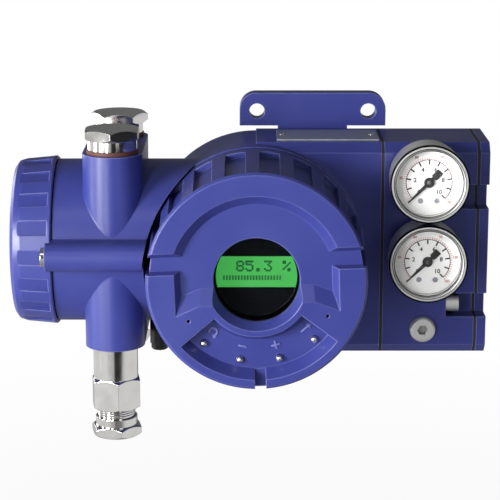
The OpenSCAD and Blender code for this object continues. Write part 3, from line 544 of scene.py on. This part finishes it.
# %% What the floor shows
def mirrored_ray(tree, path):
    return math_node(tree, "MAXIMUM", path.outputs["Is Glossy Ray"], path.outputs["Is Transmission Ray"])


def floor_for_camera(tree, spot):
    away = add(tree, "ShaderNodeVectorMath", operation="LENGTH")
    tree.links.new(spot, away.inputs[0])
    return spread(tree, away.outputs["Value"], (0.3, 0.9), (0.90, 1.0))


def floor_in_mirrors(tree, spot):
    split = add(tree, "ShaderNodeSeparateXYZ")
    tree.links.new(spot, split.inputs[0])
    left = spread(tree, split.outputs["X"], (-0.20, -0.08), (0.50, 0.02))
    aside = math_node(tree, "ABSOLUTE", split.outputs["X"])
    sides = spread(tree, aside, (0.25, 0.45), (0.25, 0.75))
    far_front = math_node(tree, "LESS_THAN", split.outputs["Y"], -0.75)
    return math_node(tree, "MAXIMUM", left, math_node(tree, "SUBTRACT", sides, far_front))


print("floor helpers ready")

# %% Floor finish
floor_tone = (0.60, 0.60, 0.60, 1.0)
floor_finish = bpy.data.materials.new("pale_floor")
floor_finish.use_nodes = True
tree = floor_finish.node_tree
shader = tree.nodes["Principled BSDF"]
shader.inputs["Base Color"].default_value = floor_tone
shader.inputs["Roughness"].default_value = 0.8
spot = add(tree, "ShaderNodeTexCoord").outputs["Object"]
path = add(tree, "ShaderNodeLightPath")
white = add(tree, "ShaderNodeEmission")
dim = add(tree, "ShaderNodeEmission")
tree.links.new(floor_in_mirrors(tree, spot), dim.inputs["Strength"])
plain = mix_shaders(tree, mirrored_ray(tree, path), shader.outputs[0], dim.outputs[0])
share = math_node(tree, "MULTIPLY", path.outputs["Is Camera Ray"], floor_for_camera(tree, spot))
shown = mix_shaders(tree, share, plain, white.outputs[0])
tree.links.new(shown, tree.nodes["Material Output"].inputs["Surface"])
floor.data.materials.append(floor_finish)
print("floor finish has", len(tree.nodes), "nodes")

# %% World
ambient_level = 0.05
back_level = 0.10
ceiling_level = 0.11
world = bpy.data.worlds.new("studio_world")
bpy.context.scene.world = world
world.use_nodes = True
tree = world.node_tree
ambient = tree.nodes["Background"]
ambient.inputs["Color"].default_value = (0.95, 0.97, 1.0, 1.0)
ambient.inputs["Strength"].default_value = ambient_level
white = add(tree, "ShaderNodeBackground")
white.inputs["Color"].default_value = (1, 1, 1, 1)
white.inputs["Strength"].default_value = 1.0
path = add(tree, "ShaderNodeLightPath")
way = add(tree, "ShaderNodeTexCoord")
heading = add(tree, "ShaderNodeSeparateXYZ")
tree.links.new(way.outputs["Generated"], heading.inputs[0])
behind = math_node(tree, "GREATER_THAN", heading.outputs["Y"], 0.25)
backdrop = math_node(tree, "MULTIPLY", behind, back_level)
ceiling = spread(tree, heading.outputs["Z"], (0.3, 0.7), (0.0, ceiling_level))
room = math_node(tree, "MAXIMUM", ceiling, backdrop)
mirrored = math_node(tree, "MULTIPLY", mirrored_ray(tree, path), room)
seen = math_node(tree, "MAXIMUM", path.outputs["Is Camera Ray"], mirrored)
sky = mix_shaders(tree, seen, ambient.outputs[0], white.outputs[0])
tree.links.new(sky, tree.nodes["World Output"].inputs["Surface"])
print("world: ambient", ambient_level, "mirrored back", back_level, "mirrored ceiling", ceiling_level)

# %% Lamps: place, size and power
lamp_target = (0.0, -0.05, 0.0)
lamps = {
    "key_lamp": ((-0.86, -0.80, 0.14), (0.3, 0.5), 17.0),
    "streak_lamp": ((-0.45, -1.00, 0.12), (0.10, 0.7), 4.2),
    "side_lamp": ((-1.2, -0.25, 0.05), (0.25, 0.7), 4.0),
    "fill_lamp": ((0.55, -1.25, 0.25), (0.35, 0.8), 2.0),
    "top_lamp": ((-0.12, -0.85, 0.85), (0.5, 0.25), 0.8),
    "back_lamp": ((-1.0, 0.85, 0.1), (0.6, 0.6), 5.0),
}


def soft_lamp(name, place, size, power):
    lamp = bpy.data.lights.new(name, "AREA")
    lamp.shape = "RECTANGLE"
    lamp.size, lamp.size_y = size
    lamp.energy = power
    holder = bpy.data.objects.new(name, lamp)
    bpy.context.scene.collection.objects.link(holder)
    holder.location = place
    throw = [t - p for t, p in zip(lamp_target, place)]
    flat = math.hypot(throw[0], throw[1])
    holder.rotation_euler = (math.atan2(flat, -throw[2]), 0, math.atan2(-throw[0], throw[1]))


for name, (place, size, power) in lamps.items():
    soft_lamp(name, place, size, power)

# %% [markdown]
# ## Rolled gauge rings
# A gauge's ring is rolled over the edge of its lens. It is the same section all the way round, so the
# section is drawn once, as a face whose front corners are rounded, and spun about the gauge's axis.
# A torus would be quicker, but it has no flat side and no lip to hold the lens. Recalculating the
# normals can leave a ring inside out. Its volume is then below zero, and all its faces are flipped.

# %% Ring section
gauges = {"upper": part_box("upper_ring"), "lower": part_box("lower_ring")}
lens_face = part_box("upper_lens")[0][1]
lens_rim = (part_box("upper_lens")[1][0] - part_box("upper_lens")[0][0]) / 2
lip = 0.9 * MM
roll = 1.3 * MM
roll_segments = 6


def front_centre(low, high):
    return (low[0] + high[0]) / 2, (low[2] + high[2]) / 2


def ring_section(low, high):
    x, z = front_centre(low, high)
    outer = (high[0] - low[0]) / 2
    inner = x + lens_rim
    front, back = low[1], high[1]
    clear_selection()
    middle = (x + (outer + lens_rim) / 2, (lens_face + back) / 2, z)
    bpy.ops.mesh.primitive_plane_add(size=1.0, location=middle)
    ring = bpy.context.object
    ring.scale = (outer - lens_rim, back - lens_face, 1.0)
    fix_place()
    edit(ring, "VERT")
    pick_points(ring, lambda v: v.y < lens_face + hair)
    extrude((0, front - lens_face, 0))
    pick_points(ring, lambda v: v.x < inner + hair and v.y < lens_face + hair)
    bpy.ops.mesh.select_mode(type="EDGE")
    extrude((-lip, 0, 0))
    bpy.ops.mesh.select_mode(type="FACE")
    pick_all()
    bpy.ops.mesh.dissolve_faces()
    bpy.ops.mesh.select_mode(type="VERT")
    pick_points(ring, lambda v: v.y < front + hair and (v.x > inner or v.x < inner - lip / 2))
    bpy.ops.mesh.bevel(offset=roll, segments=roll_segments, affect="VERTICES")
    return ring


print("ring section: lip", lip, "roll", roll)

# %% Spin the section
ring_steps = 96
ring_weld = 0.01 * MM


def turn_outward(ring):
    volume = sum(f.area * f.normal.dot(f.center) for f in ring.data.polygons) / 3
    if volume < 0:
        edit(ring)
        pick_all()
        bpy.ops.mesh.flip_normals()
        done()


def rolled_ring(name, low, high):
    x, z = front_centre(low, high)
    ring = ring_section(low, high)
    bpy.ops.mesh.select_mode(type="FACE")
    pick_all()
    bpy.ops.mesh.delete(type="ONLY_FACE")
    bpy.ops.mesh.select_mode(type="EDGE")
    pick_all()
    bpy.ops.mesh.spin(steps=ring_steps, angle=math.tau, center=(x, low[1], z), axis=(0, 1, 0))
    weld(ring, ring_weld)
    turn_outward(ring)
    return settle(ring, name)


for level, (low, high) in gauges.items():
    ring = wear(rolled_ring(level + "_rolled_ring", low, high), stainless, "housing")
    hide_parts(level + "_ring")
    print(ring.name, len(ring.data.polygons), "faces")

# %% [markdown]
# ## Printed dials
# A dial's scale runs from the lower left, over the top, to the lower right: 270 degrees. One tick is
# a thin raised strip, and Spin with duplicates sets it round the arc. The numbers are text turned
# into mesh. A picture of a dial would blur close up, and strips stay sharp at any distance.

# %% Ticks and arcs
scale_start = math.radians(225)
scale_sweep = math.radians(270)
arc_steps = 108
dial_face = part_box("upper_dial")[0][1]
ink = 0.06 * MM


def strip_at_start(add_shape, centre, radius, size):
    clear_selection()
    add_shape(size=1.0, location=(centre[0] + radius, dial_face - ink / 2, centre[1]))
    strip = bpy.context.object
    strip.scale = size
    fix_place()
    edit(strip)
    pick_all()
    pivot = (centre[0], dial_face, centre[1])
    bpy.ops.transform.rotate(value=scale_start, orient_axis="Y", center_override=pivot)
    return strip, pivot


def tick_ring(name, centre, inner, outer, width, steps):
    size = (outer - inner, ink, width)
    ticks, pivot = strip_at_start(bpy.ops.mesh.primitive_cube_add, centre, (inner + outer) / 2, size)
    bpy.ops.mesh.spin(steps=steps, angle=-scale_sweep, dupli=True, center=pivot, axis=(0, 1, 0))
    done()
    return settle(ticks, name)


def dial_arc(name, centre, radius, width):
    size = (width, ink, 1.0)
    arc, pivot = strip_at_start(bpy.ops.mesh.primitive_plane_add, centre, radius, size)
    bpy.ops.mesh.spin(steps=arc_steps, angle=-scale_sweep, center=pivot, axis=(0, 1, 0))
    pick_all()
    bpy.ops.mesh.normals_make_consistent(inside=False)
    done()
    return settle(arc, name)


print("scale sweeps", round(math.degrees(scale_sweep)), "degrees on a face at", round(dial_face, 4))

# %% Numbers
major_numbers = [str(n) for n in range(0, 11, 2)]
minor_numbers = [str(n) for n in range(0, 151, 30)]
number_boldness = 0.022


def number_label(text, height, spot):
    clear_selection()
    bpy.ops.object.text_add(location=spot, rotation=(math.pi / 2, 0, 0))
    label = bpy.context.object
    label.data.body = text
    label.data.size = height
    label.data.align_x = "CENTER"
    label.data.align_y = "CENTER"
    label.data.extrude = ink
    label.data.offset = height * number_boldness
    label.data.resolution_u = 3
    bpy.ops.object.convert(target="MESH")
    return bpy.context.object


def dial_numbers(name, centre, radius, height, values):
    labels = []
    for index, value in enumerate(values):
        angle = scale_start - scale_sweep * index / (len(values) - 1)
        x = centre[0] + radius * math.cos(angle)
        z = centre[1] + radius * math.sin(angle)
        labels.append(number_label(value, height, (x, dial_face, z)))
    clear_selection()
    for label in labels:
        label.select_set(True)
    bpy.context.view_layer.objects.active = labels[0]
    bpy.ops.object.join()
    return settle(bpy.context.object, name)


print("numbers:", major_numbers, minor_numbers)

# %% Both dials: radii and widths
major_tick = (9.4 * MM, 11.7 * MM, 0.75 * MM)
fine_tick = (11.9 * MM, 13.3 * MM, 0.26 * MM)
scale_line = (11.85 * MM, 0.36 * MM)
major_text = (7.3 * MM, 3.2 * MM)
minor_text = (14.7 * MM, 1.9 * MM)
for level, (low, high) in gauges.items():
    centre = front_centre(low, high)
    prints = [
        (tick_ring(level + "_major_ticks", centre, *major_tick, 10), print_black),
        (dial_arc(level + "_scale_arc", centre, *scale_line), print_black),
        (tick_ring(level + "_fine_ticks", centre, *fine_tick, 50), print_red),
        (dial_numbers(level + "_numbers", centre, *major_text, major_numbers), print_black),
        (dial_numbers(level + "_red_numbers", centre, *minor_text, minor_numbers), print_red),
    ]
    for piece, colour in prints:
        wear(piece, colour, "housing")
    print(level, "dial:", [piece.name for piece, _ in prints])

# %% [markdown]
# ## Dial screws and pointer pins
# Each dial is held by two small slotted screws, and its pointer by a bright pin pressed over the
# shaft. Both start as short cylinders. A bevel rounds the head, and the slot is an inset that is
# squeezed narrow and pushed in. A Boolean cut would make the slot too, but it leaves long thin faces.

# %% A turned head
head_round = 0.4
slot_margin = 0.35
slot_shape = (1.25, 1, 0.22)
slot_depth = 0.6


def turned_head(name, centre, face, radius, height, slotted):
    clear_selection()
    middle = (centre[0], face - height / 2, centre[1])
    bpy.ops.mesh.primitive_cylinder_add(vertices=32, radius=radius, depth=height, location=middle,
                                        rotation=(math.pi / 2, 0, 0))
    head = bpy.context.object
    fix_place()
    edit(head)
    pick_faces(head, lambda f: f.normal.y < -0.9)
    bpy.ops.mesh.bevel(offset=height * head_round, segments=2)
    if slotted:
        pick_faces(head, lambda f: f.normal.y < -0.9 and len(f.vertices) > 8)
        bpy.ops.mesh.inset(thickness=radius * slot_margin)
        bpy.ops.transform.resize(value=slot_shape, center_override=(centre[0], face, centre[1]))
        extrude((0, height * slot_depth, 0))
    done()
    return settle(head, name)


print("slot goes", slot_depth, "of the head's height deep")

# %% Screws and pins
screw_radius = 1.4 * MM
screw_height = 0.3 * MM
screw_aside = 4.25 * MM
screw_below = 9.7 * MM
pin_radius = 0.9 * MM
pin_height = 0.5 * MM
for level, (low, high) in gauges.items():
    centre = front_centre(low, high)
    for side, label in ((-1, "left"), (1, "right")):
        spot = (centre[0] + side * screw_aside, centre[1] - screw_below)
        name = f"{level}_dial_screw_{label}"
        head = turned_head(name, spot, dial_face, screw_radius, screw_height, True)
        wear(head, plate_metal, "housing")
    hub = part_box(level + "_pointer")[0][1]
    pin = turned_head(level + "_pointer_pin", centre, hub, pin_radius, pin_height, False)
    wear(pin, stainless, level + "_pointer")
    print(level, "gauge: two screws of", len(head.data.polygons), "faces, pin of", len(pin.data.polygons))

# %% [markdown]
# ## Reading on the display
# The display shows a number as a grid of dark dots, five wide and seven high to a character, over a
# plain bar. One dot is modelled, and Duplicate sets it wherever the character has a dot. A font would
# be quicker, but its smooth curves don't look like a display.

# %% Characters
glyphs = {
    "8": ("01110", "10001", "10001", "01110", "10001", "10001", "01110"),
    "5": ("11111", "10000", "11110", "00001", "00001", "10001", "01110"),
    ".": ("00000", "00000", "00000", "00000", "00000", "01100", "01100"),
    "3": ("11111", "00010", "00100", "00010", "00001", "10001", "01110"),
    " ": ("00000",) * 7,
    "%": ("11000", "11001", "00010", "00100", "01000", "10011", "00011"),
}
reading = "85.3 %"
panel_low, panel_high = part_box("display_panel")
panel_face = panel_low[1]
panel_level = (panel_low[2] + panel_high[2]) / 2
dot_ink = finish("display_dots", ((0.006, 0.06, 0.02), (0.010, 0.08, 0.03)), (0.4, 0.5),
                 fine=1500.0, bump=0.03)
light_up(dot_ink, (0.010, 0.11, 0.028))
print("reading", reading, "on a panel at", round(panel_face, 4))


# %% A dot and its copies
def dark_dot(width, height):
    clear_selection()
    bpy.ops.mesh.primitive_cube_add(size=1.0, location=(0, panel_face - ink / 2, 0))
    dot = bpy.context.object
    dot.scale = (width, ink, height)
    fix_place()
    return dot


def place_copies(piece, spots):
    edit(piece)
    pick_all()
    bpy.ops.transform.translate(value=(spots[0][0], 0, spots[0][1]))
    for before, after in zip(spots, spots[1:]):
        move = (after[0] - before[0], 0, after[1] - before[1])
        bpy.ops.mesh.duplicate_move(TRANSFORM_OT_translate={"value": move})
    done()


print("dot helpers ready")

# %% Dots of the reading
dot_pitch = 0.787 * MM
dot_size = 1.02 * MM
text_left = -9.9 * MM
text_top = panel_level + 5.4 * MM
columns_each = 6
spots = []
for index, character in enumerate(reading):
    for row, line in enumerate(glyphs[character]):
        for column, lit in enumerate(line):
            if lit == "1":
                across = index * columns_each + column
                spots.append((text_left + across * dot_pitch, text_top - row * dot_pitch))
dots = dark_dot(dot_size, dot_size)
place_copies(dots, spots)
wear(settle(dots, "reading_dots"), dot_ink, "housing")
print("dots:", len(spots))

# %% Bar under the reading
bar_width = 0.9 * MM
bar_height = 2.4 * MM
bar_left = -16.5 * MM
bar_step = 1.5 * MM
bar_level = panel_level - 3.1 * MM
bar_count = 20
bars = dark_dot(bar_width, bar_height)
place_copies(bars, [(bar_left + i * bar_step, bar_level) for i in range(bar_count)])
wear(settle(bars, "reading_bar"), dot_ink, "housing")
print("bars:", bar_count)

# %% [markdown]
# ## Signs beside the buttons
# A raised sign stands on the pocket's floor beside each button: a curved arrow, a minus, a plus and
# an arrow. Each one starts as a small flat square whose edges are extruded into strokes. Solidify
# then gives it height and Bevel rounds its edges, as moulding does. A text object would give strokes
# of another width.

# %% Squares and strokes
stroke = 1.0 * MM
half = stroke / 2
arm = 1.8 * MM
shoulder = 0.01 * MM
point = 0.05


def flat_square(x, z):
    clear_selection()
    bpy.ops.mesh.primitive_plane_add(size=stroke, location=(x, 0, z), rotation=(math.pi / 2, 0, 0))
    fix_place()
    return bpy.context.object


def pull_edge(piece, rule, move, widen=1.0):
    edit(piece, "VERT")
    pick_points(piece, rule)
    bpy.ops.mesh.select_mode(type="EDGE")
    extrude((move[0], 0, move[1]))
    if widen != 1.0:
        ends = picked_points(piece)
        middle = sum(ends[1:], ends[0]) / len(ends)
        bpy.ops.transform.resize(value=(widen, 1, widen), center_override=middle)
    done()


print("strokes are", stroke, "wide")


# %% Minus, plus and straight arrow
def minus_sign():
    sign = flat_square(0, 0)
    pull_edge(sign, lambda v: v.x > half - hair, (arm, 0))
    pull_edge(sign, lambda v: v.x < -half + hair, (-arm, 0))
    return sign


def plus_sign():
    sign = minus_sign()
    pull_edge(sign, lambda v: v.z > half - hair and abs(v.x) < stroke, (0, arm))
    pull_edge(sign, lambda v: v.z < -half + hair and abs(v.x) < stroke, (0, -arm))
    return sign


def arrow_sign():
    sign = minus_sign()
    end = half + arm - hair
    pull_edge(sign, lambda v: v.x > end, (shoulder, 0), widen=3.4)
    pull_edge(sign, lambda v: v.x > end + shoulder / 2, (1.7 * MM, 0), widen=point)
    return sign


print("straight signs ready")

# %% Curved arrow
curve_radius = 2.0 * MM
curve_sweep = math.radians(230)
curve_steps = 14


def curved_arrow_sign():
    sign = flat_square(curve_radius, 0)
    edit(sign, "VERT")
    pick_points(sign, lambda v: v.z > half - hair)
    bpy.ops.mesh.select_mode(type="EDGE")
    bpy.ops.mesh.spin(steps=curve_steps, angle=curve_sweep, center=(0, 0, half), axis=(0, 1, 0))
    done()
    pull_edge(sign, lambda v: v.z < -half + hair and v.x > 0, (0, -shoulder), widen=3.0)
    pull_edge(sign, lambda v: v.z < -half - shoulder / 2 and v.x > 0, (0, -1.5 * MM), widen=point)
    return sign


print("curved sign turns", round(math.degrees(curve_sweep)), "degrees")

# %% Set the signs on the pocket's floor
sign_height = 0.5 * MM
sign_ring = 35.3 * MM
sign_weld = 0.002 * MM
above_floor = 50 * MM
cover = nodes["front_cover"]
# The signs are painted paler than the cover's paint and have pale edges: a painted highlight on the raised
# strokes.
sign_highlight_paint = finish("sign_paint_painted_highlight", ((0.10, 0.11, 0.36), (0.13, 0.14, 0.42)), (0.42, 0.50),
                    bump=0.12, depth=0.00008, edge=(0.25, 0.27, 0.55), edge_gain=3.0, radius=0.0004)


def raise_sign(sign):
    make_active(sign)
    height = sign.modifiers.new("height", "SOLIDIFY")
    height.thickness = sign_height
    height.offset = 0.0
    soften = sign.modifiers.new("soften", "BEVEL")
    soften.width = 0.12 * MM
    soften.segments = 2
    apply_all(sign)


def set_on_floor(sign, name, button):
    low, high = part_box(button)
    spot = front_centre(low, high)
    turn = math.atan2(spot[1], spot[0])
    x, z = sign_ring * math.cos(turn), sign_ring * math.sin(turn)
    _, floor_point, _, _ = cover.ray_cast((x, low[1] - above_floor, z), (0, 1, 0))
    raise_sign(sign)
    sign.rotation_euler = (0, -(turn + math.pi / 2), 0)
    sign.location = (x, floor_point[1] - sign_height / 2, z)
    weld(sign, sign_weld)
    return settle(sign, name)


signs = (("back_sign", curved_arrow_sign), ("minus_sign", minus_sign), ("plus_sign", plus_sign),
         ("enter_sign", arrow_sign))
for button, (name, shape) in enumerate(signs, start=1):
    sign = wear(set_on_floor(shape(), name, f"button_{button}"), sign_highlight_paint, "front_cover")
    print(name, len(sign.data.polygons), "faces at", [round(c, 4) for c in sign.bound_box[0]])

# %% [markdown]
# ## Thread of the cable gland
# Between the gland's body and its nut some turns of thread show. A thread is a wedge that runs round
# in a helix, and the Screw modifier winds one. Rings set one above the other would be simpler, but
# they don't climb. Only the crests show here, so the wedge is low and has few steps.

# %% Wind the thread
gland_low, gland_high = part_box("gland_body")
gland_axis = ((gland_low[0] + gland_high[0]) / 2, (gland_low[1] + gland_high[1]) / 2)
nut_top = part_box("gland_nut")[1][2]
thread_radius = 9.6 * MM
thread_wedge = 0.45 * MM
thread_pitch = 1.2 * MM
thread_turns = 3
thread_steps = 48
thread_lift = 0.7 * MM
thread_weld = 0.005 * MM
clear_selection()
bpy.ops.mesh.primitive_circle_add(vertices=3, radius=thread_wedge, fill_type="NOTHING",
                                  location=(thread_radius, 0, 0), rotation=(math.pi / 2, 0, math.pi))
fix_place()
thread = bpy.context.object
winding = thread.modifiers.new("winding", "SCREW")
winding.axis = "Z"
winding.screw_offset = thread_pitch
winding.iterations = thread_turns
winding.steps = thread_steps
winding.render_steps = thread_steps
winding.use_merge_vertices = True
apply_all(thread)
weld(thread, thread_weld)
thread.location = (gland_axis[0], gland_axis[1], nut_top + thread_lift)
wear(settle(thread, "gland_thread"), nickel, "housing")
thread_top = max(vertex.co.z for vertex in thread.data.vertices)
print("thread:", len(thread.data.polygons), "faces, top at", round(thread_top, 4))

# %% [markdown]
# ## Last step
# The selection is cleared at the end.

# %% Finish
clear_selection()
